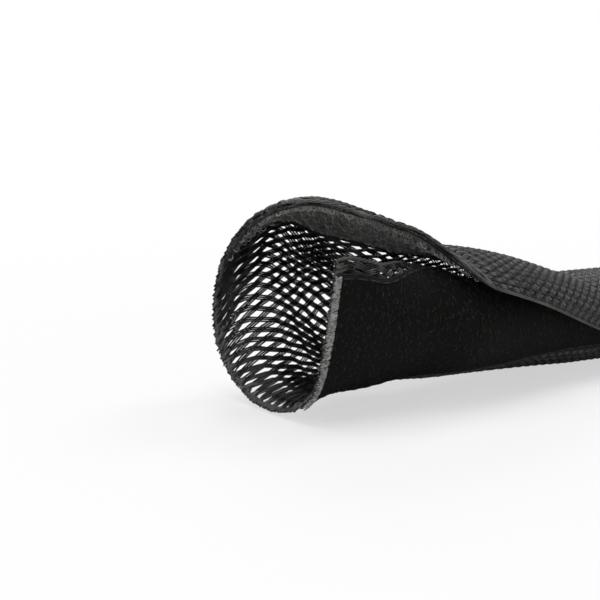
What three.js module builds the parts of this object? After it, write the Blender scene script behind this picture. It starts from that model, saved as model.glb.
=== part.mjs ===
import * as THREE from "three";

// A side-entry cable sleeve: one braided strip with a loop tape and a hook tape along its long edges,
// rolled into a tube. The mouth is flared open, and further along the flap lies closed on the loop tape.
// Lengths are in millimetres and headings in degrees. The tube runs along X and stands on z = 0.

const LENGTH = 120;
const TAPE_WIDTH = 25;
const SELVEDGE = 1.25; // flat woven edge of a tape, outside its pile
const NEAR_MARGIN = 2.7; // braid past the loop tape, along the near edge
const FREE_MESH = 40; // braid between the two tapes, as it lies in the closed tube
const FLAP_MARGIN = 1.5; // braid past the hook tape, along the flap's edge

const MESH_THICKNESS = 0.55;
const STRAND_RIDGE = 0.25; // how far a strand stands out of the braid on each side
const TAPE_BASE = 0.4;
const PILE_HEIGHT = 0.3; // loops or hooks above the tape's base cloth
const LAYER_GAP = 0.2; // between a tape and the braid that it is sewn to

// The braid's lattice: strands cross at every second corner, and a gap is centred on the others.
const TILES_PER_PILE = 7;
const TILES_FREE = 11;
const TILES_FLARED = 12; // along the flared stretch
const TILES_CLOSED = 11; // along the closed stretch
const GAP_SHARE = 0.46; // of a tile's edge

// The closed stretch begins here, and the far end of it lies on its flat spot.
const FLARED_LENGTH = 62;
const FLAT_FROM = 90;
const RIM_DROP = 3.5; // the flared rim reaches this far below the tube behind it
const RIM_DEPTH = 9; // over this length

// Sections of the rolled strip. Each is a chain of curves, given by the heading at the stations across the
// strip: 0 runs along the ground to the far side, 90 goes up. side is where the bottom's middle lies, and
// stretch widens the free mesh.
const SECTIONS = [
  { x: 0, side: 6.5, stretch: 1.09, headings: [-82, -79, -78, -72, -34, 5, 40, 90, 119, 141, 157, 171] },
  { x: 10, side: 6.8, stretch: 1.04, headings: [-112, -96, -72, -46, -22, 26, 61, 92, 129, 166, 185, 191] },
  { x: 20, side: 6, stretch: 1.03, headings: [-170, -139, -85, -46, -27, 6, 59, 85, 126, 170, 182, 182] },
  { x: 31, side: 1.2, stretch: 1.05, headings: [-187, -176, -135, -63, -29, -6, 58, 105, 149, 180, 197, 214] },
  { x: FLARED_LENGTH, side: 1.2, stretch: 1, headings: [-221, -221, -209, -130, -61, 0, 0, 135, 136, 176, 204, 287] },
];

const NEAR_WIDTH = NEAR_MARGIN + TAPE_WIDTH;
const HOOK_FROM = NEAR_WIDTH + FREE_MESH;
const STRIP_WIDTH = HOOK_FROM + TAPE_WIDTH + FLAP_MARGIN;
const STATIONS = [
  ...[0, 0.18, 0.43, 0.72, 1].map((share) => share * NEAR_WIDTH),
  ...[0.27, 0.53, 0.78].map((share) => NEAR_WIDTH + share * FREE_MESH),
  ...[0, 0.33, 0.66, 1].map((share) => HOOK_FROM + share * (STRIP_WIDTH - HOOK_FROM)),
];

const MESH_FACE = MESH_THICKNESS / 2;
const STRAND_FACE = MESH_FACE + STRAND_RIDGE;
const TAPE_FOOT = MESH_FACE + LAYER_GAP;
const INTEGRATION_STEP = 0.25;

// A curve through the given values that never swings past them.
function smoothCurve(positions, values) {
  const steps = positions.slice(1).map((p, i) => p - positions[i]);
  const slopes = steps.map((step, i) => (values[i + 1] - values[i]) / step);
  const tangents = positions.map((p, i) => {
    if (i === 0) return slopes[0];
    if (i === slopes.length) return slopes[i - 1];
    if (slopes[i - 1] * slopes[i] <= 0) return 0;
    const before = 2 * steps[i] + steps[i - 1];
    const after = steps[i] + 2 * steps[i - 1];
    return (before + after) / (before / slopes[i - 1] + after / slopes[i]);
  });
  return (position) => {
    const at = THREE.MathUtils.clamp(position, positions[0], positions[positions.length - 1]);
    const last = steps.length - 1;
    let k = 0;
    while (k < last && at > positions[k + 1]) k += 1;
    const t = (at - positions[k]) / steps[k];
    const start = values[k] + t * t * (3 - 2 * t) * (values[k + 1] - values[k]);
    const bend = t * (1 - t) * steps[k];
    return start + bend * ((1 - t) * tangents[k] - t * tangents[k + 1]);
  };
}

const SECTION_X = SECTIONS.map((section) => section.x);
const headingsAlong = STATIONS.map((s, k) => smoothCurve(SECTION_X, SECTIONS.map((section) => section.headings[k])));
const sideAlong = smoothCurve(SECTION_X, SECTIONS.map((section) => section.side));
const stretchAlong = smoothCurve(SECTION_X, SECTIONS.map((section) => section.stretch));

// Height of the tube's bottom over the ground: none at the rim, then level out of the flare and down again.
function liftAt(x) {
  const flare = 1 - (1 - Math.min(x / RIM_DEPTH, 1)) ** 2;
  return RIM_DROP * flare * Math.max(1 - x / FLAT_FROM, 0);
}

// The rolled strip's middle line at one place along the tube, as points a small step apart.
function rollSection(x) {
  const headingAt = smoothCurve(STATIONS, headingsAlong.map((along) => along(x)));
  const count = Math.ceil(STRIP_WIDTH / INTEGRATION_STEP);
  const step = STRIP_WIDTH / count;
  const points = [];
  let y = 0;
  let z = 0;
  for (let i = 0; i <= count; i += 1) {
    const s = i * step;
    const heading = THREE.MathUtils.degToRad(headingAt(s));
    points.push({ s, y, z, heading });
    const middle = THREE.MathUtils.degToRad(headingAt(s + step / 2));
    const isFree = s >= NEAR_WIDTH && s < HOOK_FROM;
    const length = step * (isFree ? stretchAlong(x) : 1);
    y += Math.cos(middle) * length;
    z += Math.sin(middle) * length;
  }
  const floor = Math.min(...points.map((p) => p.z)) - STRAND_FACE - liftAt(x);
  const bottom = points.filter((p) => p.s >= STATIONS[5] && p.s <= STATIONS[6]);
  const middleY = bottom.reduce((sum, p) => sum + p.y, 0) / bottom.length - sideAlong(x);
  return points.map((p) => ({ ...p, y: p.y - middleY, z: p.z - floor }));
}

const rolledSections = new Map();

// The place of a point of the flat strip once it is rolled: s across, x along, n out of the tube.
function rolled(s, x, n) {
  if (!rolledSections.has(x)) rolledSections.set(x, rollSection(x));
  const points = rolledSections.get(x);
  const at = (s / STRIP_WIDTH) * (points.length - 1);
  const k = Math.min(Math.floor(at), points.length - 2);
  const [a, b] = [points[k], points[k + 1]];
  const t = at - k;
  const heading = THREE.MathUtils.lerp(a.heading, b.heading, t);
  const y = THREE.MathUtils.lerp(a.y, b.y, t) + n * Math.sin(heading);
  const z = THREE.MathUtils.lerp(a.z, b.z, t) - n * Math.cos(heading);
  return new THREE.Vector3(x, y, z);
}

// A closed solid from a flat sheet of faces. Each face lists points { s, x, outer, inner } anticlockwise,
// where outer and inner are the heights of its two surfaces, and every free edge gets a wall.
function sheetSolid(faces) {
  const corners = [];
  const indexOf = new Map();
  const register = (point) => {
    const key = `${point.s.toFixed(4)} ${point.x.toFixed(4)}`;
    if (!indexOf.has(key)) {
      indexOf.set(key, corners.length);
      corners.push(point);
    }
    return indexOf.get(key);
  };
  const loops = faces.map((face) => face.map(register));
  const edges = new Set(loops.flatMap((loop) => loop.map((a, i) => `${a} ${loop[(i + 1) % loop.length]}`)));
  const positions = corners.flatMap((p) => [...rolled(p.s, p.x, p.outer), ...rolled(p.s, p.x, p.inner)]);
  const triangles = [];
  const outer = (corner) => 2 * corner;
  const inner = (corner) => 2 * corner + 1;
  for (const loop of loops) {
    for (let i = 1; i < loop.length - 1; i += 1) {
      const [a, b, c] = [loop[0], loop[i], loop[i + 1]];
      triangles.push(outer(a), outer(b), outer(c), inner(c), inner(b), inner(a));
    }
    loop.forEach((a, i) => {
      const b = loop[(i + 1) % loop.length];
      if (edges.has(`${b} ${a}`)) return;
      triangles.push(outer(b), outer(a), inner(a), outer(b), inner(a), inner(b));
    });
  }
  const geometry = new THREE.BufferGeometry();
  geometry.setAttribute("position", new THREE.Float32BufferAttribute(positions, 3));
  geometry.setIndex(triangles);
  geometry.computeVertexNormals();
  return geometry;
}

// Evenly spaced values from one end to the other.
function spaced(from, to, count) {
  return Array.from({ length: count + 1 }, (unused, i) => from + ((to - from) * i) / count);
}

// The lines across a tape: its two selvedges and the pile between them.
function tapeLines(from) {
  const pile = spaced(from + SELVEDGE, from + TAPE_WIDTH - SELVEDGE, TILES_PER_PILE);
  return [from, ...pile, from + TAPE_WIDTH];
}

const LOOP_LINES = tapeLines(NEAR_MARGIN);
const HOOK_LINES = tapeLines(HOOK_FROM);
const FREE_LINES = spaced(NEAR_WIDTH, HOOK_FROM, TILES_FREE).slice(1, -1);
const ACROSS = [0, ...LOOP_LINES, ...FREE_LINES, ...HOOK_LINES, STRIP_WIDTH];
const FLARED_LINES = spaced(0, FLARED_LENGTH, TILES_FLARED);
const ALONG = [...FLARED_LINES, ...spaced(FLARED_LENGTH, LENGTH, TILES_CLOSED).slice(1)];

// The two faces of the braid. A strand stands out on both sides, but lies flat against a tape, and the
// flat spot that the sleeve rests on is level with its strands.
function braidPoint(s, x, onStrand) {
  const underLoop = s >= NEAR_MARGIN && s <= NEAR_WIDTH;
  const underHook = s >= HOOK_FROM && s <= HOOK_FROM + TAPE_WIDTH;
  const onFlatSpot = x >= FLAT_FROM && s >= STATIONS[5] && s <= STATIONS[6];
  const outer = underLoop ? MESH_FACE : onStrand || onFlatSpot ? STRAND_FACE : MESH_FACE;
  const inner = underHook || !onStrand ? -MESH_FACE : -STRAND_FACE;
  return { s, x, outer, inner };
}

// The two halves of a lattice tile, each as [from, odd, to]: a strand crosses the tile between its even
// corners, from and to, and the odd corner is at its side.
function tileHalves(i, j) {
  const around = [[i, j], [i + 1, j], [i + 1, j + 1], [i, j + 1]];
  const start = (i + j) % 2;
  return [start, start + 2].map((k) => [around[k % 4], around[(k + 1) % 4], around[(k + 2) % 4]]);
}

// The braid as a lattice of tiles. An odd corner is cut away where a gap of the free mesh is centred on it.
function braidFaces() {
  const faces = [];
  const hasGap = ([i, j]) => {
    const free = ACROSS[i] > NEAR_WIDTH && ACROSS[i] < HOOK_FROM;
    return free && j > 0 && j < ALONG.length - 1;
  };
  const corner = ([i, j]) => braidPoint(ACROSS[i], ALONG[j], (i + j) % 2 === 0);
  const cutPoint = ([oddI, oddJ], [i, j]) => {
    const s = THREE.MathUtils.lerp(ACROSS[oddI], ACROSS[i], GAP_SHARE);
    const x = THREE.MathUtils.lerp(ALONG[oddJ], ALONG[j], GAP_SHARE);
    return braidPoint(s, x, false);
  };
  for (let i = 0; i < ACROSS.length - 1; i += 1) {
    for (let j = 0; j < ALONG.length - 1; j += 1) {
      for (const [from, odd, to] of tileHalves(i, j)) {
        const side = hasGap(odd) ? [cutPoint(odd, from), cutPoint(odd, to)] : [corner(odd)];
        faces.push([corner(from), ...side, corner(to)]);
      }
    }
  }
  return faces;
}

// A tape: a base cloth with thin selvedges, and its pile standing up between them. It shares the braid's
// lattice. side is 1 for a tape on the tube's outside and -1 for one on the inside.
function tapeFaces(from, side) {
  const first = ACROSS.indexOf(from);
  const last = ACROSS.indexOf(from + TAPE_WIDTH);
  const point = ([i, j]) => {
    const onSelvedge = i === first || i === last;
    const top = TAPE_FOOT + TAPE_BASE + (onSelvedge ? 0 : PILE_HEIGHT);
    const heights = side > 0 ? { outer: top, inner: TAPE_FOOT } : { outer: -TAPE_FOOT, inner: -top };
    return { s: ACROSS[i], x: ALONG[j], ...heights };
  };
  const faces = [];
  for (let i = first; i < last; i += 1) {
    for (let j = 0; j < ALONG.length - 1; j += 1) {
      faces.push(...tileHalves(i, j).map((half) => half.map(point)));
    }
  }
  return faces;
}

function piece(name, faces, color, roughness) {
  const material = new THREE.MeshStandardMaterial({ color, roughness, metalness: 0 });
  const mesh = new THREE.Mesh(sheetSolid(faces), material);
  mesh.name = name;
  return mesh;
}

const sleeve = new THREE.Group();
sleeve.add(
  piece("braided_mesh", braidFaces(), 0x1b1b1c, 0.45),
  piece("loop_tape", tapeFaces(NEAR_MARGIN, 1), 0x131513, 0.95),
  piece("hook_tape", tapeFaces(HOOK_FROM, -1), 0x222423, 0.6),
);

// The origin is the middle of the ground that the sleeve covers.
const bounds = new THREE.Box3().setFromObject(sleeve);
const middle = bounds.getCenter(new THREE.Vector3());
sleeve.position.set(-middle.x, -middle.y, -bounds.min.z);
sleeve.updateMatrixWorld(true);

export default sleeve;
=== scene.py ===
"""The looks of a hook and loop cable sleeve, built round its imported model.

Every piece is laid out on the flat strip and then rolled: s runs across the strip from its near edge to the
flap's edge, x along the sleeve from the flared mouth, and n out of the tube. Lengths there are in millimetres,
and the last step puts them into the frame, in metres.
"""

import logging
import math
from dataclasses import dataclass, field
from enum import Enum
from typing import Callable, Sequence

import bmesh
import bpy
import numpy as np
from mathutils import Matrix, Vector
from mathutils.kdtree import KDTree

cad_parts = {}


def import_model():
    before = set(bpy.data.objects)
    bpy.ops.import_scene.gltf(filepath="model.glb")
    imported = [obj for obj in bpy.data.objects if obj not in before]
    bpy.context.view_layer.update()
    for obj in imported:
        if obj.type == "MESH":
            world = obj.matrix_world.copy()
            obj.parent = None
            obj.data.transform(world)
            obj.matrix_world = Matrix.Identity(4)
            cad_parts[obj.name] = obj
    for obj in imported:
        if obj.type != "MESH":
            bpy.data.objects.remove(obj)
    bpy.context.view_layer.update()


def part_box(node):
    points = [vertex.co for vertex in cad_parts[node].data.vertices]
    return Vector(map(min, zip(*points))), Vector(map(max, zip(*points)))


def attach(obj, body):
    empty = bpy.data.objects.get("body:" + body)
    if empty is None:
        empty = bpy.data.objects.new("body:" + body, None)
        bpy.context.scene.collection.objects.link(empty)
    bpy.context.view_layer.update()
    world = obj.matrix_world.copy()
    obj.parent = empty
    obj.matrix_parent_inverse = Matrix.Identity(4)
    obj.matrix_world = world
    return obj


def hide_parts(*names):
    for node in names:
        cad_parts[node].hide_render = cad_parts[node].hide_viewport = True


LOG = logging.getLogger("sleeve")
MM = 0.001
# Name of the point attribute that marks where the strands get their painted highlight.
CREST_HIGHLIGHT = "crest_highlight"


# The strip and its roll


class Side(Enum):
    """Which face of the strip a piece lies on."""

    OUTSIDE = 1
    INSIDE = -1


@dataclass(frozen=True)
class Section:
    """One section of the rolled strip.

    The headings are in degrees at the strip's stations: 0 runs along the ground to the far side, 90 goes up.
    """

    x: float
    side: float
    stretch: float
    headings: tuple[float, ...]


def smooth_curve(positions: Sequence[float], values: Sequence[float]) -> Callable[[np.ndarray], np.ndarray]:
    """Makes a curve through given values that never swings past them.

    Args:
        positions: Where the values stand, rising.
        values: The value at each position.

    Returns:
        A function of an array of positions.
    """
    at, value = np.asarray(positions, float), np.asarray(values, float)
    step = np.diff(at)
    slope = np.diff(value) / step
    tangent = np.zeros_like(value)
    tangent[0], tangent[-1] = slope[0], slope[-1]
    for i in range(1, len(slope)):
        if slope[i - 1] * slope[i] > 0:
            before, after = 2 * step[i] + step[i - 1], step[i] + 2 * step[i - 1]
            tangent[i] = (before + after) / (before / slope[i - 1] + after / slope[i])

    def curve(position: np.ndarray) -> np.ndarray:
        """Reads the curve at the given positions."""
        where = np.clip(position, at[0], at[-1])
        k = np.clip(np.searchsorted(at, where) - 1, 0, len(step) - 1)
        t = (where - at[k]) / step[k]
        bend = t * (1 - t) * step[k]
        rise = t * t * (3 - 2 * t) * (value[k + 1] - value[k])
        return value[k] + rise + bend * ((1 - t) * tangent[k] - t * tangent[k + 1])

    return curve


@dataclass(frozen=True)
class Strip:
    """The flat strip's sizes in millimetres, and the sections that it is rolled to."""

    length: float = 120
    tape_width: float = 25
    near_margin: float = 2.7
    free_mesh: float = 40
    flap_margin: float = 1.5
    mesh_thickness: float = 0.55
    strand_ridge: float = 0.25
    rim_drop: float = 3.5
    rim_depth: float = 9
    flat_from: float = 90
    sections: tuple[Section, ...] = (
        Section(0, 6.5, 1.09, (-82, -79, -78, -72, -34, 5, 40, 90, 119, 141, 157, 171)),
        Section(10, 6.8, 1.04, (-112, -96, -72, -46, -22, 26, 61, 92, 129, 166, 185, 191)),
        Section(20, 6.0, 1.03, (-170, -139, -85, -46, -27, 6, 59, 85, 126, 170, 182, 182)),
        Section(31, 1.2, 1.05, (-187, -176, -135, -63, -29, -6, 58, 105, 149, 180, 197, 214)),
        Section(62, 1.2, 1.00, (-221, -221, -209, -130, -61, 0, 0, 135, 136, 176, 204, 287)),
    )

    @property
    def near_width(self) -> float:
        """Where the free mesh begins."""
        return self.near_margin + self.tape_width

    @property
    def hook_from(self) -> float:
        """Where the hook tape begins."""
        return self.near_width + self.free_mesh

    @property
    def width(self) -> float:
        """The whole strip across."""
        return self.hook_from + self.tape_width + self.flap_margin

    @property
    def stations(self) -> list[float]:
        """Where across the strip the sections give their headings."""
        near = [share * self.near_width for share in (0, 0.18, 0.43, 0.72, 1)]
        free = [self.near_width + share * self.free_mesh for share in (0.27, 0.53, 0.78)]
        flap = [self.hook_from + share * (self.width - self.hook_from) for share in (0, 0.33, 0.66, 1)]
        return near + free + flap


class Roll:
    """The rolled shape: it takes points of the flat strip to their places in the frame."""

    Y, Z, HEADING, SLIDE = range(4)
    ACROSS_STEP = 0.1
    ALONG_STEP = 0.5
    BOTTOM_STATIONS = (5, 6)
    STEADY_REACH = 9.0
    STEADY_LIMIT = 5.0
    STEADY_MARGIN = 9.0

    def __init__(self, strip: Strip) -> None:
        """Works out the rolled middle line at close steps along the sleeve.

        Args:
            strip: The strip that is rolled.
        """
        self.strip = strip
        sections = strip.sections
        section_x = [section.x for section in sections]
        headings = [
            smooth_curve(section_x, [section.headings[k] for section in sections])
            for k in range(len(strip.stations))
        ]
        sides = smooth_curve(section_x, [section.side for section in sections])
        stretches = smooth_curve(section_x, [section.stretch for section in sections])
        self.columns = int(round(strip.width / self.ACROSS_STEP))
        self.rows = int(round(strip.length / self.ALONG_STEP))
        step = strip.width / self.columns
        s = np.linspace(0, strip.width, self.columns + 1)
        middle = (s[1:] + s[:-1]) / 2
        free = (middle >= strip.near_width) & (middle < strip.hook_from)
        bottom_from, bottom_to = (strip.stations[k] for k in self.BOTTOM_STATIONS)
        bottom = (s >= bottom_from) & (s <= bottom_to)
        face = strip.mesh_thickness / 2 + strip.strand_ridge
        self.grid = np.zeros((self.rows + 1, self.columns + 1, 4))
        for row in range(self.rows + 1):
            x = strip.length * row / self.rows
            at_stations = [float(heading(x)) for heading in headings]
            heading_at = smooth_curve(strip.stations, at_stations)
            angle = np.radians(heading_at(middle))
            length = step * np.where(free, float(stretches(x)), 1)
            y = np.concatenate([[0], np.cumsum(np.cos(angle) * length)])
            z = np.concatenate([[0], np.cumsum(np.sin(angle) * length)])
            y += float(sides(x)) - y[bottom].mean()
            z += face + self.lift(x) - z.min()
            self.grid[row, :, self.Y] = y
            self.grid[row, :, self.Z] = z
            self.grid[row, :, self.HEADING] = np.radians(heading_at(s))
        self.grid[:, :, self.SLIDE] = self.steady_slide(s)
        self.origin = Vector((0, 0, 0))

    def steady_slide(self, s: np.ndarray) -> np.ndarray:
        """Works out how far the strands slide in the free mesh, so that the roll's turns leave them straight.

        Args:
            s: The grid's places across the strip.

        Returns:
            The slide across the strip at each of the grid's points.
        """
        heading = self.grid[:, :, self.HEADING]
        reach = int(3 * self.STEADY_REACH / self.ALONG_STEP)
        weights = np.exp(-0.5 * (np.arange(-reach, reach + 1) * self.ALONG_STEP / self.STEADY_REACH) ** 2)
        padded = np.pad(heading, ((reach, reach), (0, 0)), mode="edge")
        steady = sum(w * padded[i : i + self.rows + 1] for i, w in enumerate(weights)) / weights.sum()
        inside = np.minimum(s - self.strip.near_width, self.strip.hook_from - s)
        share = np.clip(inside / self.STEADY_MARGIN, 0, 1)
        slide = np.zeros_like(heading)
        for row in range(self.rows + 1):
            rising = np.maximum.accumulate(heading[row]) + 1e-6 * s
            slide[row] = np.interp(steady[row], rising, s) - s
        return np.clip(slide, -self.STEADY_LIMIT, self.STEADY_LIMIT) * share * share * (3 - 2 * share)

    def lift(self, x: float) -> float:
        """Gives the height of the tube's bottom over the ground at x."""
        flare = 1 - (1 - min(x / self.strip.rim_depth, 1)) ** 2
        return self.strip.rim_drop * flare * max(1 - x / self.strip.flat_from, 0)

    def centre_on(self, low: Sequence[float], high: Sequence[float]) -> None:
        """Sets the rolled shape into the frame by the box of its braid.

        Args:
            low: The braid's lowest corner in the frame, in metres.
            high: Its highest corner.
        """
        face = self.strip.mesh_thickness / 2 + self.strip.strand_ridge
        y = self.grid[:, :, self.Y] + face * np.sin(self.grid[:, :, self.HEADING])
        far = (low[1] + high[1]) / 2 / MM - (y.min() + y.max()) / 2
        self.origin = Vector((low[0] / MM, far, 0))

    def sample(self, s: np.ndarray, x: np.ndarray) -> np.ndarray:
        """Reads the rolled middle line.

        Args:
            s: Places across the strip.
            x: Places along it.

        Returns:
            The y, the z, the heading and the strands' slide at each place, along the last axis.
        """
        column = np.clip(s / self.strip.width, 0, 1) * self.columns
        row = np.clip(x / self.strip.length, 0, 1) * self.rows
        i = np.minimum(row.astype(int), self.rows - 1)
        j = np.minimum(column.astype(int), self.columns - 1)
        u, v = (row - i)[..., None], (column - j)[..., None]
        low = self.grid[i, j] * (1 - v) + self.grid[i, j + 1] * v
        high = self.grid[i + 1, j] * (1 - v) + self.grid[i + 1, j + 1] * v
        return low * (1 - u) + high * u

    def place(self, points: np.ndarray) -> np.ndarray:
        """Rolls points of the flat strip.

        Args:
            points: Rows of s, x and n in millimetres.

        Returns:
            Rows of x, y and z in the frame, in metres.
        """
        s, x, n = points[..., 0], points[..., 1], points[..., 2]
        y, z, heading, _ = np.moveaxis(self.sample(s, x), -1, 0)
        past = np.where(s < 0, s, np.where(s > self.strip.width, s - self.strip.width, 0))
        y = y + past * np.cos(heading) + n * np.sin(heading)
        z = z + past * np.sin(heading) - n * np.cos(heading)
        placed = np.stack([x + self.origin.x, y + self.origin.y, z + self.origin.z], axis=-1)
        return placed * MM


# Meshes


def filament_mesh(
    name: str,
    paths: Sequence[np.ndarray],
    radii: Sequence[np.ndarray],
    resolution: int = 0,
    highlight_masks: Sequence[np.ndarray] = (),
) -> bpy.types.Object:
    """Makes round filaments along open paths, as one mesh object.

    Args:
        name: The object's name.
        paths: For each filament, its points as rows of x, y and z in the frame, in metres.
        radii: For each filament, its radius at each point, in metres.
        resolution: 0 gives a filament four sides, and each step two more.
        highlight_masks: For each filament, its value of the crest attribute at each point, from 0 to 1, which
            marks where the painted highlight goes.

    Returns:
        The object, with closed ends.
    """
    curve = bpy.data.curves.new(name, "CURVE")
    curve.dimensions = "3D"
    curve.bevel_depth = 1.0
    curve.bevel_resolution = resolution
    curve.use_fill_caps = True
    for path, radius in zip(paths, radii):
        spline = curve.splines.new("POLY")
        spline.points.add(len(path) - 1)
        spline.points.foreach_set("co", np.column_stack([path, np.ones(len(path))]).ravel())
        spline.points.foreach_set("radius", np.asarray(radius, float))
    bent = bpy.data.objects.new(name + "_path", curve)
    bpy.context.collection.objects.link(bent)
    mesh = bpy.data.meshes.new_from_object(bent.evaluated_get(bpy.context.evaluated_depsgraph_get()))
    mesh.name = name
    bpy.data.objects.remove(bent)
    bpy.data.curves.remove(curve)
    # Stores the painted highlight's mask on the mesh's points, from the nearest point of each path.
    if len(highlight_masks):
        values = np.concatenate(highlight_masks)
        tree = KDTree(len(values))
        for index, point in enumerate(np.concatenate(paths)):
            tree.insert(point, index)
        tree.balance()
        nearest = [tree.find(vertex.co)[1] for vertex in mesh.vertices]
        crest_highlight = mesh.attributes.new(CREST_HIGHLIGHT, "FLOAT", "POINT")
        crest_highlight.data.foreach_set("value", values[nearest].astype(np.float32))
    return add_object(name, mesh)


def add_object(name: str, mesh: bpy.types.Mesh) -> bpy.types.Object:
    """Links a mesh into the scene as an object at the origin."""
    made = bpy.data.objects.new(name, mesh)
    bpy.context.collection.objects.link(made)
    return made


def dress(piece: bpy.types.Object, material: bpy.types.Material) -> bpy.types.Object:
    """Gives a piece its material and fixes it to the sleeve.

    Args:
        piece: The object.
        material: The material that covers it.

    Returns:
        The same object.
    """
    piece.data.materials.clear()
    piece.data.materials.append(material)
    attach(piece, "root")
    triangles = sum(len(polygon.vertices) - 2 for polygon in piece.data.polygons)
    LOG.info("%s: %d triangles", piece.name, triangles)
    return piece


def wander(rng: np.random.Generator, where: np.ndarray, reach: float) -> np.ndarray:
    """Gives a smooth random wave along a line.

    Args:
        rng: The source of its phases.
        where: The places along the line.
        reach: About how far apart its crests are.

    Returns:
        Its height at each place, mostly within one either way.
    """
    wave = np.zeros_like(where)
    for octave, share in ((1.0, 0.6), (1.7, 0.35), (2.9, 0.2)):
        wave += share * np.sin(2 * math.pi * (where * octave / reach + rng.random()))
    return wave


# Finishes


class Value:
    """A shader socket that is used in a Python expression."""

    def __init__(self, shader: "Shader", socket: bpy.types.NodeSocket) -> None:
        """Holds a socket and the shader that it is in."""
        self.shader = shader
        self.socket = socket

    def _math(self, operation: str, *values: "Value | float") -> "Value":
        """Adds a Math node."""
        return self.shader.node("ShaderNodeMath", {"operation": operation}, dict(enumerate(values)))

    def __add__(self, other: "Value | float") -> "Value":
        """Adds."""
        return self._math("ADD", self, other)

    def __radd__(self, other: float) -> "Value":
        """Adds to a number."""
        return self._math("ADD", other, self)

    def __sub__(self, other: "Value | float") -> "Value":
        """Subtracts."""
        return self._math("SUBTRACT", self, other)

    def __mul__(self, other: "Value | float") -> "Value":
        """Multiplies."""
        return self._math("MULTIPLY", self, other)

    def __rmul__(self, other: float) -> "Value":
        """Multiplies a number."""
        return self._math("MULTIPLY", other, self)

    def sine(self) -> "Value":
        """Takes the sine of the value, in radians."""
        return self._math("SINE", self)

    def clamped(self) -> "Value":
        """Keeps the value between 0 and 1."""
        return self._math("MINIMUM", self._math("MAXIMUM", self, 0.0), 1.0)


class Shader:
    """The nodes of one material."""

    def __init__(self, name: str) -> None:
        """Starts a material with a Principled shader.

        Args:
            name: The material's name.
        """
        self.material = bpy.data.materials.new(name)
        self.material.use_nodes = True
        self.tree = self.material.node_tree
        self.surface = self.tree.nodes["Principled BSDF"]

    def node(
        self, kind: str, settings: dict[str, object], inputs: dict[object, object], output: object = 0
    ) -> Value:
        """Adds a node.

        Args:
            kind: The node's type.
            settings: Its settings, which are set first.
            inputs: Values or links for its sockets, by name or number.
            output: Which of its outputs is used.

        Returns:
            That output.
        """
        made = self.tree.nodes.new(kind)
        for setting, value in settings.items():
            setattr(made, setting, value)
        for socket, value in inputs.items():
            if isinstance(value, Value):
                self.tree.links.new(value.socket, made.inputs[socket])
            else:
                made.inputs[socket].default_value = value
        return Value(self, made.outputs[output])

    def noise(self, scale: float, detail: float) -> Value:
        """Adds a noise on Object coordinates.

        Args:
            scale: Its scale, in cells a metre.
            detail: Its octaves.

        Returns:
            The noise, from 0 to 1.
        """
        place = self.node("ShaderNodeTexCoord", {}, {}, "Object")
        return self.node("ShaderNodeTexNoise", {}, {"Vector": place, "Scale": scale, "Detail": detail})

    def colour(self, mask: Value, low: "Value | tuple[float, ...]", high: tuple[float, ...]) -> Value:
        """Mixes two colours by a mask. The low one may be the result of another mix."""
        first = low if isinstance(low, Value) else (*low, 1)
        return self.node("ShaderNodeMix", {"data_type": "RGBA"}, {0: mask, 6: first, 7: (*high, 1)}, 2)

    def link(self, value: Value, socket: str) -> None:
        """Links a value to the surface."""
        self.tree.links.new(value.socket, self.surface.inputs[socket])

    def fixed(self, **values: object) -> None:
        """Sets the surface's own sockets, with spaces in their names written as underscores."""
        for name, value in values.items():
            self.surface.inputs[name.replace("_", " ")].default_value = value

    def bump(self, height: Value, distance: float) -> None:
        """Gives the surface a relief."""
        inputs = {"Height": height, "Distance": distance, "Strength": 1.0}
        self.link(self.node("ShaderNodeBump", {}, inputs), "Normal")


@dataclass(frozen=True)
class FilamentFinish:
    """Black extruded filament: smooth, with a fine grain and the haze of handling.

    The crest is a painted highlight: a lighter grey, broken up by the haze, painted where a strand crosses over
    another, in place of the shine that light gives the floats.
    """

    name: str
    deep: tuple[float, float, float]
    worn: tuple[float, float, float]
    smooth: float
    rough: float
    relief: float
    gloss: float = 0.5
    crest_highlight: float = 0.0

    def material(self) -> bpy.types.Material:
        """Builds the material."""
        shader = Shader(self.name)
        haze = shader.noise(260, 4)
        grain = shader.noise(3200, 2)
        tone = shader.colour((haze * 1.6 - 0.3).clamped(), self.deep, self.worn)
        # Painted highlight: the crest attribute lightens the colour on each strand's over-lying float, standing
        # in for its shine.
        if self.crest_highlight:
            over = shader.node("ShaderNodeAttribute", {"attribute_name": CREST_HIGHLIGHT}, {}, "Fac")
            mask = (over * (0.45 + haze) * 0.9).clamped()
            tone = shader.colour(mask, tone, (self.crest_highlight, self.crest_highlight, self.crest_highlight * 0.98))
        shader.link(tone, "Base Color")
        shader.link(self.smooth + (self.rough - self.smooth) * (haze * 0.6 + grain * 0.4), "Roughness")
        shader.bump(grain, self.relief)
        shader.fixed(IOR=1.57, Specular_IOR_Level=self.gloss)
        return shader.material


@dataclass(frozen=True)
class ClothFinish:
    """Woven black nylon ground of a tape, with its ribs on the rolled cloth's own map."""

    name: str
    deep: tuple[float, float, float]
    pale: tuple[float, float, float]
    ribs_across: float
    ribs_along: float
    relief: float
    gloss: float = 0.12

    def material(self) -> bpy.types.Material:
        """Builds the material."""
        shader = Shader(self.name)
        uv = shader.node("ShaderNodeUVMap", {"uv_map": "cloth"}, {})
        parts = shader.tree.nodes.new("ShaderNodeSeparateXYZ")
        shader.tree.links.new(uv.socket, parts.inputs[0])
        across, along = Value(shader, parts.outputs[0]), Value(shader, parts.outputs[1])
        warp = (across * self.ribs_across).sine()
        weft = (along * self.ribs_along).sine()
        weave = (warp * weft) * 0.5 + 0.5
        fluff = shader.noise(1500, 3)
        shade = (weave * 0.5 + fluff * 0.9 - 0.35).clamped()
        shader.link(shader.colour(shade, self.deep, self.pale), "Base Color")
        shader.link(0.7 + 0.25 * fluff, "Roughness")
        shader.bump(weave * 0.7 + fluff * 0.5, self.relief)
        shader.fixed(Specular_IOR_Level=self.gloss)
        return shader.material


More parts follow.
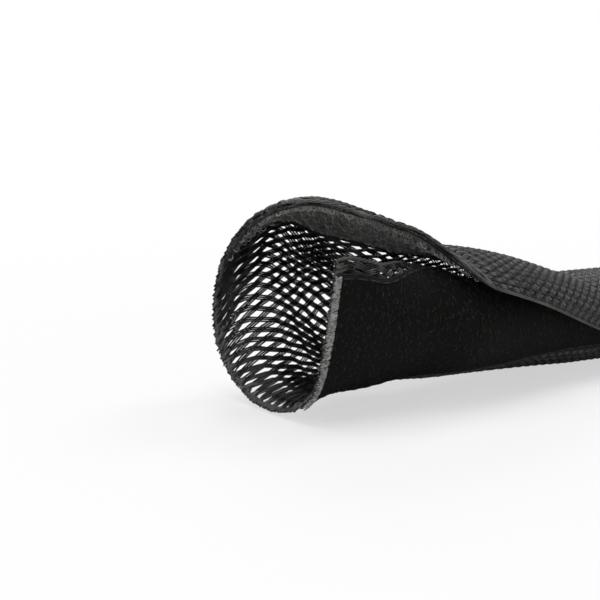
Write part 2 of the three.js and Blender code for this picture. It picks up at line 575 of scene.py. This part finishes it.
@dataclass(frozen=True)
class FibreFinish:
    """Fine fibres: the pile's loops, the hooks or a sewing thread."""

    name: str
    deep: tuple[float, float, float]
    pale: tuple[float, float, float]
    roughness: float
    scale: float
    gloss: float = 0.2

    def material(self) -> bpy.types.Material:
        """Builds the material."""
        shader = Shader(self.name)
        tone = shader.noise(self.scale, 3)
        shader.link(shader.colour((tone * 2 - 0.5).clamped(), self.deep, self.pale), "Base Color")
        shader.link(self.roughness + 0.2 * tone - 0.1, "Roughness")
        shader.bump(shader.noise(self.scale * 6, 2), 0.00003)
        shader.fixed(Specular_IOR_Level=self.gloss)
        return shader.material


# The strands' last value, the crest, is the grey of the painted highlight on the floats.
STRAND_FINISH = FilamentFinish(
    "strand_black", (0.003, 0.003, 0.0032), (0.011, 0.0105, 0.0105), 0.15, 0.3, 0.00001, gloss=0.4, crest_highlight=0.115
)
EDGE_FINISH = FilamentFinish("edge_brown", (0.014, 0.013, 0.012), (0.14, 0.127, 0.113), 0.4, 0.65, 0.00002)
FUSED_FINISH = FilamentFinish("fused_grey", (0.006, 0.0058, 0.0055), (0.12, 0.114, 0.108), 0.3, 0.6, 0.00008)
LOOP_CLOTH = ClothFinish("loop_cloth", (0.002, 0.0024, 0.002), (0.01, 0.011, 0.0095), 18000, 12000, 0.0001)
HOOK_CLOTH = ClothFinish("hook_cloth", (0.024, 0.0245, 0.0235), (0.36, 0.363, 0.35), 16000, 10000, 0.0001)
PILE_FINISH = FibreFinish("pile_black", (0.002, 0.003, 0.002), (0.06, 0.066, 0.057), 0.85, 1700)
HOOK_FINISH = FibreFinish("hook_grey", (0.02, 0.02, 0.02), (0.6, 0.6, 0.58), 0.5, 900)
THREAD_FINISH = FibreFinish("thread_black", (0.008, 0.008, 0.008), (0.07, 0.068, 0.066), 0.6, 1200)
SELVEDGE_FINISH = FibreFinish("selvedge_black", (0.005, 0.005, 0.005), (0.03, 0.03, 0.029), 0.7, 900)
CUT_FINISH = FibreFinish("cut_grey", (0.14, 0.138, 0.134), (0.75, 0.74, 0.72), 0.8, 1800)
CUT_DARK_FINISH = FibreFinish("cut_dark", (0.01, 0.01, 0.01), (0.09, 0.088, 0.085), 0.7, 1800)


# The braid


@dataclass(frozen=True)
class Weave:
    """How the braid's strands cross: their number, and the cell's length along the sleeve.

    Where a strand turns back at an edge it is pulled in, which is counted in strands.
    """

    strands: int = 56
    filaments: int = 3
    filament_radius: float = 0.165
    filament_pitch: float = 0.335
    crimp: float = 0.2
    start_phase: float = 0.22
    turn_pull: float = 0.22
    turn_reach: float = 0.3
    samples_per_cell: int = 4
    cell_places: tuple[float, ...] = (0, 6.7, 11.7, 15.4, 21, 34, 43, 49, 57, 67, 78)
    cell_lengths: tuple[float, ...] = (5.5, 5.0, 3.9, 3.45, 3.4, 2.9, 2.6, 2.2, 1.9, 1.75, 1.65)


@dataclass
class BraidedMesh:
    """The braided strip: its strands of filaments, and the beads that heat cutting left at both ends."""

    roll: Roll
    weave: Weave = field(default_factory=Weave)
    pieces: int = 4
    edge_inset: float = 0.35
    rim_inset: float = 0.5
    slack_at_rim: float = 0.16
    slack_reach: float = 12
    spread_at_rim: float = 0.3
    spread_reach: float = 9
    cord_inset: float = 0.32
    cord_bow: float = 0.17
    cord_pitch: float = 3.1
    cord_radius: float = 0.15
    seed: int = 11

    def phases(self) -> tuple[np.ndarray, np.ndarray]:
        """Counts the lattice's cells along the sleeve.

        Returns:
            Close places along it, and the number of cells up to each.
        """
        x = np.linspace(0, self.roll.strip.length, 1201)
        cell = smooth_curve(self.weave.cell_places, self.weave.cell_lengths)(x)
        middle = (cell[1:] + cell[:-1]) / 2
        return x, np.concatenate([[0], np.cumsum(np.diff(x) / middle)])

    def strand(self, lane: int, rising: bool, rng: np.random.Generator) -> np.ndarray:
        """Lays one strand's middle line on the flat strip.

        Args:
            lane: Where it starts at the mouth, counted in strands from the near edge.
            rising: Whether it starts towards the flap's edge.
            rng: The source of its slack.

        Returns:
            Rows of s, x and n.
        """
        weave, strip = self.weave, self.roll.strip
        places, cells = self.phases()
        count = int(cells[-1] * weave.samples_per_cell)
        phase = np.arange(count + 1) / weave.samples_per_cell
        phase = np.clip(np.concatenate([phase, [cells[-1]]]), 0, cells[-1])
        x = np.interp(phase, cells, places)
        turned = phase + weave.start_phase
        straight = lane + 0.5 + (1 if rising else -1) * turned
        full = 2 * weave.strands
        folded = np.mod(straight, full)
        back = folded > weave.strands
        position = np.where(back, full - folded, folded)
        edge = np.minimum(position, weave.strands - position)
        inward = np.where(position < weave.strands / 2, 1, -1)
        position = position + inward * weave.turn_pull * np.exp(-((edge / weave.turn_reach) ** 2))
        inner = strip.width - 2 * self.edge_inset
        s = self.edge_inset + position / weave.strands * inner
        heading = np.where(back == rising, -1.0, 1.0)
        over = np.cos(2 * math.pi * turned)
        crossing = np.clip(edge / 0.5, 0, 1)
        n = heading * weave.crimp * over * crossing
        slack = self.slack_at_rim * np.exp(-x / self.slack_reach) + 0.04
        s = s + slack * wander(rng, x, 9) * np.clip(edge, 0, 1)
        s = s + self.roll.sample(s, x)[:, Roll.SLIDE]
        return np.column_stack([s, x, n])

    def filaments(self, line: np.ndarray, rng: np.random.Generator) -> list[np.ndarray]:
        """Splits a strand into its filaments, side by side on the rolled braid.

        Args:
            line: The strand's middle line on the flat strip.
            rng: The source of the spread.

        Returns:
            The path of each filament in the frame.
        """
        weave = self.weave
        placed = self.roll.place(line)
        along = np.gradient(placed, axis=0)
        outward = self.roll.place(line + np.array([0, 0, 0.1])) - placed
        across = np.cross(along, outward)
        across /= np.linalg.norm(across, axis=1, keepdims=True)
        loose = self.spread_at_rim * np.exp(-line[:, 1] / self.spread_reach)
        spread = 1 + loose * np.clip(wander(rng, line[:, 1], 8), 0, 1)
        middle = (weave.filaments - 1) / 2
        paths = []
        for k in range(weave.filaments):
            beside = (k - middle) * weave.filament_pitch * spread + 0.03 * wander(rng, line[:, 1], 5)
            paths.append(placed + across * (beside * MM)[:, None])
        return paths

    def build_strands(self) -> list[bpy.types.Object]:
        """Weaves all the strands and returns them as a few pieces."""
        rng = np.random.default_rng(self.seed)
        groups: list[list[np.ndarray]] = [[] for _ in range(self.pieces)]
        crests: list[list[np.ndarray]] = [[] for _ in range(self.pieces)]
        for lane in range(self.weave.strands):
            for rising in (True, False):
                line = self.strand(lane, rising, rng)
                group = (lane % (self.pieces // 2)) + (self.pieces // 2 if rising else 0)
                groups[group] += self.filaments(line, rng)
                # Mask of the painted highlight: how far the strand lies over the other, squared, so that the
                # float tops get the lighter grey.
                outer = np.clip(line[:, 2] / self.weave.crimp, 0, 1) ** 2
                crests[group] += [outer] * self.weave.filaments
        made = []
        for index, (paths, highlight_masks) in enumerate(zip(groups, crests)):
            radii = [np.full(len(path), self.weave.filament_radius * MM) for path in paths]
            made.append(filament_mesh(f"braid_strands_{index + 1}", paths, radii, highlight_masks=highlight_masks))
        return made

    def build_rim(self, name: str, x: float, inward: float, seed: int) -> bpy.types.Object:
        """Models the fused bead along a heat-cut end.

        Args:
            name: The piece's name.
            x: Where the end is.
            inward: 1 or -1, the way into the sleeve.
            seed: Starts its random lumps.

        Returns:
            The lumpy bead as one object.
        """
        rng = np.random.default_rng(seed)
        strip = self.roll.strip
        paths, radii = [], []
        s = 0.3
        while s < strip.width - 0.6:
            run = min(rng.uniform(2.2, 7.5), strip.width - 0.3 - s)
            count = max(int(run / 0.22), 4)
            across = np.linspace(s, s + run, count)
            into = self.rim_inset + 0.28 * wander(rng, across, 2.1) + 0.22 * wander(rng, across, 6.5)
            height = 0.1 * wander(rng, across, 3)
            line = np.column_stack([across, x + inward * np.clip(into, 0.1, 2), height])
            share = np.linspace(0, 1, count)
            rounded = np.sqrt(np.clip(1 - (2 * share - 1) ** 8, 0.02, 1))
            thick = 0.3 + 0.12 * wander(rng, across, 1.3) + 0.1 * wander(rng, across, 0.7)
            paths.append(self.roll.place(line))
            radii.append(np.clip(thick, 0.16, 0.55) * rounded * MM)
            s += run - 0.1 + (rng.random() < 0.3) * rng.uniform(0.3, 0.9)
        return filament_mesh(name, paths, radii, resolution=2)

    def build_melted_ends(self, name: str, inward: int, seed: int) -> bpy.types.Object:
        """Models the blob that heat cutting left on each strand's end.

        Args:
            name: The piece's name.
            inward: 1 at the mouth and -1 at the far end, the way into the sleeve.
            seed: Starts the random sizes.

        Returns:
            The blobs as one object.
        """
        rng = np.random.default_rng(seed)
        length = self.roll.strip.length
        rounded = np.array([0.35, 0.85, 1.0, 0.9, 0.72, 0.5])
        share = np.linspace(0, 1, len(rounded))
        paths, radii = [], []
        for lane in range(self.weave.strands):
            for rising in (True, False):
                line = self.strand(lane, rising, rng)
                reach = rng.uniform(0.8, 1.9)
                start = rng.uniform(-0.2, 0.4)
                depth = start + reach * share
                x = depth if inward > 0 else length - depth
                s = np.interp(x, line[:, 1], line[:, 0]) + 0.15 * rng.normal()
                n = 0.1 * rng.normal() + 0.05 * rng.normal(size=len(share))
                paths.append(self.roll.place(np.column_stack([s, x, np.clip(n, -0.15, 0.15)])))
                radii.append(rounded * rng.uniform(0.3, 0.62) * MM)
        return filament_mesh(name, paths, radii, resolution=1)

    def build_edges(self) -> list[bpy.types.Object]:
        """Lays the tight edge filaments that bind the turns of the strands along both long edges."""
        rng = np.random.default_rng(self.seed + 1)
        strip = self.roll.strip
        x = np.linspace(0.4, strip.length - 0.4, 420)
        made = []
        for name, s in (("near_edge_cord", self.cord_inset), ("flap_edge_cord", strip.width - self.cord_inset)):
            paths, radii = [], []
            for k in range(3):
                turn = 2 * math.pi * (x / self.cord_pitch + k / 3)
                n = self.cord_bow * np.sin(turn) + 0.02 * wander(rng, x, 6)
                paths.append(self.roll.place(np.column_stack([s + self.cord_bow * np.cos(turn), x, n])))
                radii.append(np.full(len(x), self.cord_radius * MM))
            made.append(filament_mesh(name, paths, radii))
        return made

    def build(self) -> None:
        """Makes and dresses the braid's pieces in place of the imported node."""
        strand, fused = STRAND_FINISH.material(), FUSED_FINISH.material()
        strands = [dress(piece, strand) for piece in self.build_strands()]
        edge = EDGE_FINISH.material()
        for piece in self.build_edges():
            dress(piece, edge)
        length = self.roll.strip.length
        dress(self.build_rim("mouth_fused_rim", 0, 1, seed=21), fused)
        dress(self.build_rim("far_fused_rim", length, -1, seed=22), fused)
        dress(self.build_melted_ends("mouth_melted_ends", 1, seed=23), fused)
        dress(self.build_melted_ends("far_melted_ends", -1, seed=24), fused)
        for piece in strands:
            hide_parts("braided_mesh")


# The tapes


@dataclass
class Tape:
    """A woven tape that is sewn to one face of the strip.

    The foot is where its base cloth begins over the strip's middle, and the base is how thick that cloth is.
    """

    roll: Roll
    node: str
    slot: str
    start: float
    side: Side
    cloth: ClothFinish
    cut: FibreFinish = CUT_FINISH
    foot: float = 0.42
    base: float = 0.34
    selvedge: float = 1.25
    rib_pitch: float = 0.9
    cloth_inset: float = 0.25
    frayed_from: float = 0.35
    cells_across: int = 50
    cells_along: int = 110
    cut_fibres: int = 800
    seed: int = 31

    @property
    def width(self) -> float:
        """The tape across."""
        return self.roll.strip.tape_width

    def point(self, s: np.ndarray, x: np.ndarray, height: np.ndarray) -> np.ndarray:
        """Places points over the braid on the tape's side of it.

        Args:
            s: Across the tape, from its own edge.
            x: Along the sleeve.
            height: Over the foot of the cloth.

        Returns:
            Rows of x, y and z in the frame.
        """
        n = self.side.value * (self.foot + height)
        return self.roll.place(np.stack(np.broadcast_arrays(self.start + s, x, n), axis=-1))

    def build_cloth(self) -> bpy.types.Object:
        """Makes the base cloth: a flat woven slab that is then rolled with the strip."""
        rng = np.random.default_rng(self.seed)
        length = self.roll.strip.length - 2 * self.cloth_inset
        bm = bmesh.new()
        bmesh.ops.create_grid(bm, x_segments=self.cells_across, y_segments=self.cells_along, size=0.5)
        bmesh.ops.solidify(bm, geom=bm.faces[:], thickness=1.0)
        mesh = bpy.data.meshes.new(self.node + "_cloth")
        bm.to_mesh(mesh)
        bm.free()
        flat = np.zeros(len(mesh.vertices) * 3)
        mesh.vertices.foreach_get("co", flat)
        flat = flat.reshape(-1, 3)
        s = (flat[:, 0] + 0.5) * self.width
        x = (flat[:, 1] + 0.5) * length + self.cloth_inset
        level = (flat[:, 2] - flat[:, 2].min()) / max(np.ptp(flat[:, 2]), 1e-9)
        edge = np.minimum(s, self.width - s)
        thin = np.clip(0.45 + 0.55 * edge / 0.9, 0, 1)
        ribs = np.sin(2 * math.pi * x / self.rib_pitch)
        rib = 0.03 * ribs * np.exp(-edge / 0.5)
        swell = 0.03 * wander(rng, x, 14) + 0.02 * wander(rng, s, 5)
        height = level * (self.base * thin + rib + swell)
        outward = np.where(s < self.width / 2, -1, 1)
        s = s + 0.06 * ribs * np.exp(-edge / 0.3) * outward
        placed = self.point(s, x, height)
        mesh.vertices.foreach_set("co", placed.ravel())
        uv = mesh.uv_layers.new(name="cloth")
        corner = np.zeros(len(mesh.loops), int)
        mesh.loops.foreach_get("vertex_index", corner)
        uv.data.foreach_set("uv", (np.column_stack([s, x])[corner] * MM).ravel())
        bm = bmesh.new()
        bm.from_mesh(mesh)
        bmesh.ops.recalc_face_normals(bm, faces=bm.faces)
        bm.to_mesh(mesh)
        bm.free()
        mesh.polygons.foreach_set("use_smooth", [True] * len(mesh.polygons))
        return add_object(self.node + "_cloth", mesh)

    def build_selvedges(self) -> bpy.types.Object:
        """Lays the thick warp threads along both edges of the tape."""
        rng = np.random.default_rng(self.seed + 1)
        x = np.linspace(0.3, self.roll.strip.length - 0.3, 250)
        paths, radii = [], []
        for edge, inward in ((0.0, 1), (self.width, -1)):
            for k in range(3):
                turn = 2 * math.pi * x / self.rib_pitch + k * 2.1
                s = edge + inward * (0.1 + 0.3 * k) + 0.04 * np.sin(turn)
                height = 0.17 + 0.05 * k + 0.04 * np.cos(turn) + 0.01 * wander(rng, x, 3)
                paths.append(self.point(s, x, height))
                radii.append(np.full(len(x), 0.14 * MM))
        return filament_mesh(self.node + "_selvedges", paths, radii)

    def build_frayed_end(self, name: str, x: float, outward: float) -> bpy.types.Object:
        """Frays a cut end into the short broken fibres of the warp.

        Args:
            name: The piece's name.
            x: Where the end is.
            outward: 1 or -1, the way out of the sleeve.

        Returns:
            The fibres as one object.
        """
        rng = np.random.default_rng(self.seed + int(x) + 2)
        paths, radii = [], []
        for _ in range(self.cut_fibres):
            s0 = rng.uniform(0.1, self.width - 0.1)
            reach = rng.uniform(-0.1, 0.7) * outward
            share = np.linspace(0, 1, 4)
            s = s0 + rng.normal(0, 0.18) * share
            height = rng.uniform(0.02, self.base + 0.25) + rng.normal(0.05, 0.12) * share
            along = x + reach * share - 0.5 * outward * (1 - share)
            paths.append(self.point(s, along, np.clip(height, 0, 0.75)))
            radii.append(np.array([0.075, 0.075, 0.06, 0.035]) * MM)
        return filament_mesh(name, paths, radii)

    def dress_ground(self) -> bpy.types.Object:
        """Makes and dresses the cloth, its selvedges and its cut ends, and returns the cloth."""
        cloth = dress(self.build_cloth(), self.cloth.material())
        dress(self.build_selvedges(), SELVEDGE_FINISH.material())
        frayed = self.cut.material()
        far = self.roll.strip.length - self.frayed_from
        dress(self.build_frayed_end(self.node + "_mouth_end", self.frayed_from, -1), frayed)
        dress(self.build_frayed_end(self.node + "_far_end", far, 1), frayed)
        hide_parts(self.node)
        return cloth


@dataclass
class LoopTape(Tape):
    """The soft tape on the outside of the near edge, with a brushed pile of loops."""

    loops: int = 4300

    def build_pile(self) -> bpy.types.Object:
        """Scatters the brushed loops, which mostly lean across the tape."""
        rng = np.random.default_rng(self.seed + 7)
        inside = self.width - 2 * self.selvedge
        share = np.linspace(0, 1, 4)
        arch = np.sin(math.pi * share)
        paths, radii = [], []
        for _ in range(self.loops):
            s0 = self.selvedge + rng.random() * inside
            x0 = rng.uniform(0.4, self.roll.strip.length - 0.4)
            lean = rng.normal(0, 0.38)
            span = rng.uniform(0.35, 1.0)
            s = s0 + (share - 0.5) * span * math.cos(lean) + 0.1 * rng.normal() * arch
            x = x0 + (share - 0.5) * span * math.sin(lean) + 0.15 * rng.normal() * arch
            height = self.base - 0.06 + rng.uniform(0.08, 0.34) * arch
            s = np.clip(s, 0.6, self.width - 0.6)
            paths.append(self.point(s, np.clip(x, 0.2, self.roll.strip.length - 0.2), height))
            radii.append(np.full(len(share), rng.uniform(0.03, 0.052) * MM))
        return filament_mesh(self.node + "_loops", paths, radii)

    def build(self) -> None:
        """Makes and dresses the whole tape."""
        self.dress_ground()
        dress(self.build_pile(), PILE_FINISH.material())


@dataclass
class HookTape(Tape):
    """The stiff tape on the inside of the flap, with rows of hooks."""

    row_pitch: float = 1.25
    hook_pitch: float = 1.55
    tall: float = 0.95
    pressed: float = 0.3
    hook_radius: float = 0.085

    def build_hooks(self) -> bpy.types.Object:
        """Stands the hooks in rows along the tape. They are pressed down where the flap is closed."""
        rng = np.random.default_rng(self.seed + 9)
        inside = self.width - 2 * self.selvedge - 1
        rows = int(inside / self.row_pitch)
        share = np.array([0.0, 0.22, 0.45, 0.65, 0.85, 1.0])
        lift = np.array([0.0, 0.55, 0.95, 1.0, 0.72, 0.48])
        bow = np.array([0.0, 0.02, 0.18, 0.5, 0.68, 0.6])
        half = 0.5 * (self.tall + self.pressed)
        stands_tall = smooth_curve((0, 22, 34, 44), (self.tall, self.tall, half, self.pressed))
        paths, radii = [], []
        for row in range(rows + 1):
            s0 = self.selvedge + 0.5 + inside * row / rows
            x0 = 0.8 + (row % 2) * self.hook_pitch / 2
            while x0 < self.roll.strip.length - 0.8:
                height = float(stands_tall(np.array(x0))) * rng.uniform(0.85, 1.08)
                way = 1 if (row + int(x0 / self.hook_pitch)) % 2 else -1
                x = x0 + way * bow * height + rng.normal(0, 0.06)
                s = s0 + rng.normal(0, 0.1) + rng.normal(0, 0.12) * share
                paths.append(self.point(s, x, self.base - 0.08 + lift * height))
                radii.append(np.full(len(share), self.hook_radius * MM))
                x0 += self.hook_pitch * rng.uniform(0.88, 1.12)
        return filament_mesh(self.node + "_hooks", paths, radii)

    def build(self) -> None:
        """Makes and dresses the whole tape."""
        self.dress_ground()
        dress(self.build_hooks(), HOOK_FINISH.material())


@dataclass
class Sewing:
    """The lockstitch rows that hold a tape to the braid."""

    roll: Roll
    tape: Tape
    inset: float = 0.72
    stitch: float = 2.4
    thread_radius: float = 0.12

    def build(self) -> None:
        """Makes and dresses both rows of stitches on both faces."""
        rng = np.random.default_rng(self.tape.seed + 15)
        length = self.roll.strip.length
        share = np.linspace(0, 1, 7)
        paths, radii = [], []
        over_tape = self.tape.foot + self.tape.base * 0.85
        over_braid = self.roll.strip.mesh_thickness / 2 + 0.06
        side = self.tape.side.value
        for inset in (self.inset, self.tape.width - self.inset):
            x0 = 0.8
            while x0 + self.stitch < length - 0.6:
                run = self.stitch * rng.uniform(0.93, 1.07)
                x = x0 + run * (0.04 + 0.92 * share)
                s = self.tape.start + inset + rng.normal(0, 0.04) + 0.05 * (share - 0.5)
                crown = 1 - (2 * share - 1) ** 4
                for top, way in ((over_tape, side), (over_braid, -side)):
                    n = way * (top - 0.22 + 0.3 * crown)
                    paths.append(self.roll.place(np.stack(np.broadcast_arrays(s, x, n), axis=-1)))
                    radii.append(np.full(len(share), self.thread_radius * MM))
                x0 += run
        thread = filament_mesh(self.tape.node + "_stitches", paths, radii)
        dress(thread, THREAD_FINISH.material())


# The stage


@dataclass(frozen=True)
class Stage:
    """The floor, the lights and the camera of the photograph's view."""

    azimuth: float = 35.74
    elevation: float = 11.81
    distance: float = 0.309
    aim_height: float = 16.7
    pixels_per_mm: float = 5.96
    image: float = 600
    principal: tuple[float, float] = (266.5, 316.2)
    sensor: float = 36
    floor_reach: float = 0.32
    floor_tone: float = 0.95
    floor_glow: float = 0.6
    glow_from: float = 0.07
    glow_over: float = 0.12
    world_strength: float = 0.15
    lamp_aim: float = 0.015

    def build_floor(self) -> None:
        """Makes a round floor. For the camera it glows a little, so that it meets the background in white."""
        bm = bmesh.new()
        bmesh.ops.create_circle(bm, cap_ends=True, segments=96, radius=self.floor_reach)
        mesh = bpy.data.meshes.new("floor")
        bm.to_mesh(mesh)
        bm.free()
        floor = add_object("floor", mesh)
        shader = Shader("floor_white")
        tone = self.floor_tone
        shader.fixed(Base_Color=(tone, tone, tone, 1), Roughness=0.9, Specular_IOR_Level=0.1)
        seen = shader.node("ShaderNodeLightPath", {}, {}, "Is Camera Ray")
        place = shader.node("ShaderNodeTexCoord", {}, {}, "Object")
        far = shader.node("ShaderNodeVectorMath", {"operation": "LENGTH"}, {0: place}, "Value")
        outer = ((far - self.glow_from) * (1 / self.glow_over)).clamped()
        glow = shader.node("ShaderNodeEmission", {}, {"Strength": 1.0})
        output = next(node for node in shader.tree.nodes if node.type == "OUTPUT_MATERIAL")
        lit = Value(shader, shader.surface.outputs[0])
        glowing = seen * (self.floor_glow + (1 - self.floor_glow) * outer)
        mixed = shader.node("ShaderNodeMixShader", {}, {0: glowing, 1: lit, 2: glow})
        shader.tree.links.new(mixed.socket, output.inputs["Surface"])
        mesh.materials.append(shader.material)

    def build_world(self) -> None:
        """Lights the scene evenly, with a white background for the camera."""
        world = bpy.data.worlds.new("studio")
        bpy.context.scene.world = world
        world.use_nodes = True
        tree = world.node_tree
        background = tree.nodes["Background"]
        background.inputs["Color"].default_value = (1, 1, 1, 1)
        path = tree.nodes.new("ShaderNodeLightPath")
        pick = tree.nodes.new("ShaderNodeMix")
        pick.data_type = "FLOAT"
        pick.inputs[2].default_value = self.world_strength
        pick.inputs[3].default_value = 1.0
        tree.links.new(path.outputs["Is Camera Ray"], pick.inputs[0])
        tree.links.new(pick.outputs[0], background.inputs["Strength"])

    def add_lamp(self, name: str, place: tuple[float, float, float], size: float, power: float) -> None:
        """Adds a soft square lamp that faces the sleeve.

        Args:
            name: The lamp's name.
            place: Where it hangs, in metres.
            size: The length of its side, in metres.
            power: Its power in watts.
        """
        data = bpy.data.lights.new(name, "AREA")
        data.size = size
        data.energy = power
        lamp = bpy.data.objects.new(name, data)
        bpy.context.collection.objects.link(lamp)
        lamp.location = place
        lamp.rotation_euler = (Vector((0, 0, self.lamp_aim)) - lamp.location).to_track_quat("-Z", "Y").to_euler()

    def build_camera(self, mouth: Vector) -> None:
        """Stands the camera where the photograph was taken from.

        Args:
            mouth: The foot of the mouth in the frame, in metres.
        """
        turn, tip = math.radians(self.azimuth), math.radians(self.elevation)
        back = Vector((-math.sin(turn) * math.cos(tip), -math.cos(turn) * math.cos(tip), math.sin(tip)))
        target = mouth + Vector((0, 0, self.aim_height * MM))
        data = bpy.data.cameras.new("camera")
        data.sensor_width = self.sensor
        data.lens = self.pixels_per_mm / MM * self.distance * self.sensor / self.image
        data.shift_x = (self.image / 2 - self.principal[0]) / self.image
        data.shift_y = (self.principal[1] - self.image / 2) / self.image
        data.clip_start = 0.01
        camera = bpy.data.objects.new("camera", data)
        bpy.context.collection.objects.link(camera)
        camera.location = target + back * self.distance
        camera.rotation_euler = back.to_track_quat("Z", "Y").to_euler()
        bpy.context.scene.camera = camera

    def build(self, mouth: Vector) -> None:
        """Sets the whole stage.

        Args:
            mouth: The foot of the mouth in the frame, in metres.
        """
        bpy.context.scene.view_settings.view_transform = "Standard"
        self.build_floor()
        self.build_world()
        self.build_camera(mouth)
        self.add_lamp("top_lamp", (-0.12, -0.02, 0.8), 0.75, 3.8)
        self.add_lamp("back_lamp", (0.25, 0.5, 0.42), 0.26, 1.1)
        self.add_lamp("side_lamp", (0.42, -0.02, 0.55), 0.26, 1.0)
        self.add_lamp("left_lamp", (-0.55, -0.12, 0.35), 0.3, 1.0)


def main() -> None:
    """Builds the sleeve round its frame."""
    logging.basicConfig(level=logging.INFO, format="%(name)s: %(message)s")
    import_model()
    strip = Strip()
    roll = Roll(strip)
    low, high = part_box("braided_mesh")
    roll.centre_on(low, high)
    LOG.info("frame origin of the strip: %s mm", tuple(round(v, 2) for v in roll.origin))
    BraidedMesh(roll).build()
    loop_tape = LoopTape(roll, "loop_tape", "loop_pile", strip.near_margin, Side.OUTSIDE, LOOP_CLOTH)
    hook_tape = HookTape(
        roll, "hook_tape", "hook_pile", strip.hook_from, Side.INSIDE, HOOK_CLOTH,
        cut=CUT_DARK_FINISH, cut_fibres=400, seed=47,
    )
    for tape in (loop_tape, hook_tape):
        tape.build()
        Sewing(roll, tape).build()
    Stage().build(roll.origin * MM)


if __name__ == "__main__":
    main()
